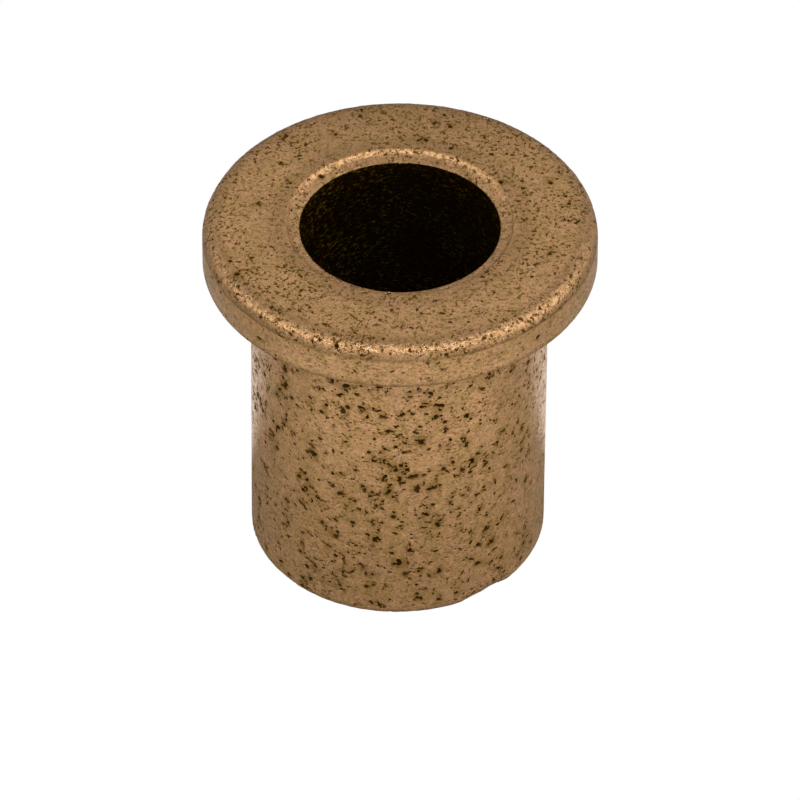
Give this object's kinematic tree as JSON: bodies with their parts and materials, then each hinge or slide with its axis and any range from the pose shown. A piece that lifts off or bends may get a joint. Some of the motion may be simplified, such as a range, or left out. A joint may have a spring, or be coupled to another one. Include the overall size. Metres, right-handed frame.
{
  "type": "flanged sleeve bushing",
  "caption": "Plain flanged sleeve bushing, pressed and sintered from porous bronze, with a chamfered bore, a thrust flange and a rounded press-fit tail.",
  "frame": {"origin": "on the bore axis, in the plane of the flange's back (seating) face", "axes": "+Z along the bore axis, from the tail towards the flange's thrust face; X and Y are free, because the part is a body of revolution"},
  "size_m": [0.0126, 0.0126, 0.0128],
  "materials": {
    "sintered_bronze": "dull tan-brown sintered bronze with open dark pores, damp with oil; brighter burnished edges"
  },
  "bodies": {
    "root": {"flanged_sleeve": "sintered_bronze"}
  },
  "joints": []
}
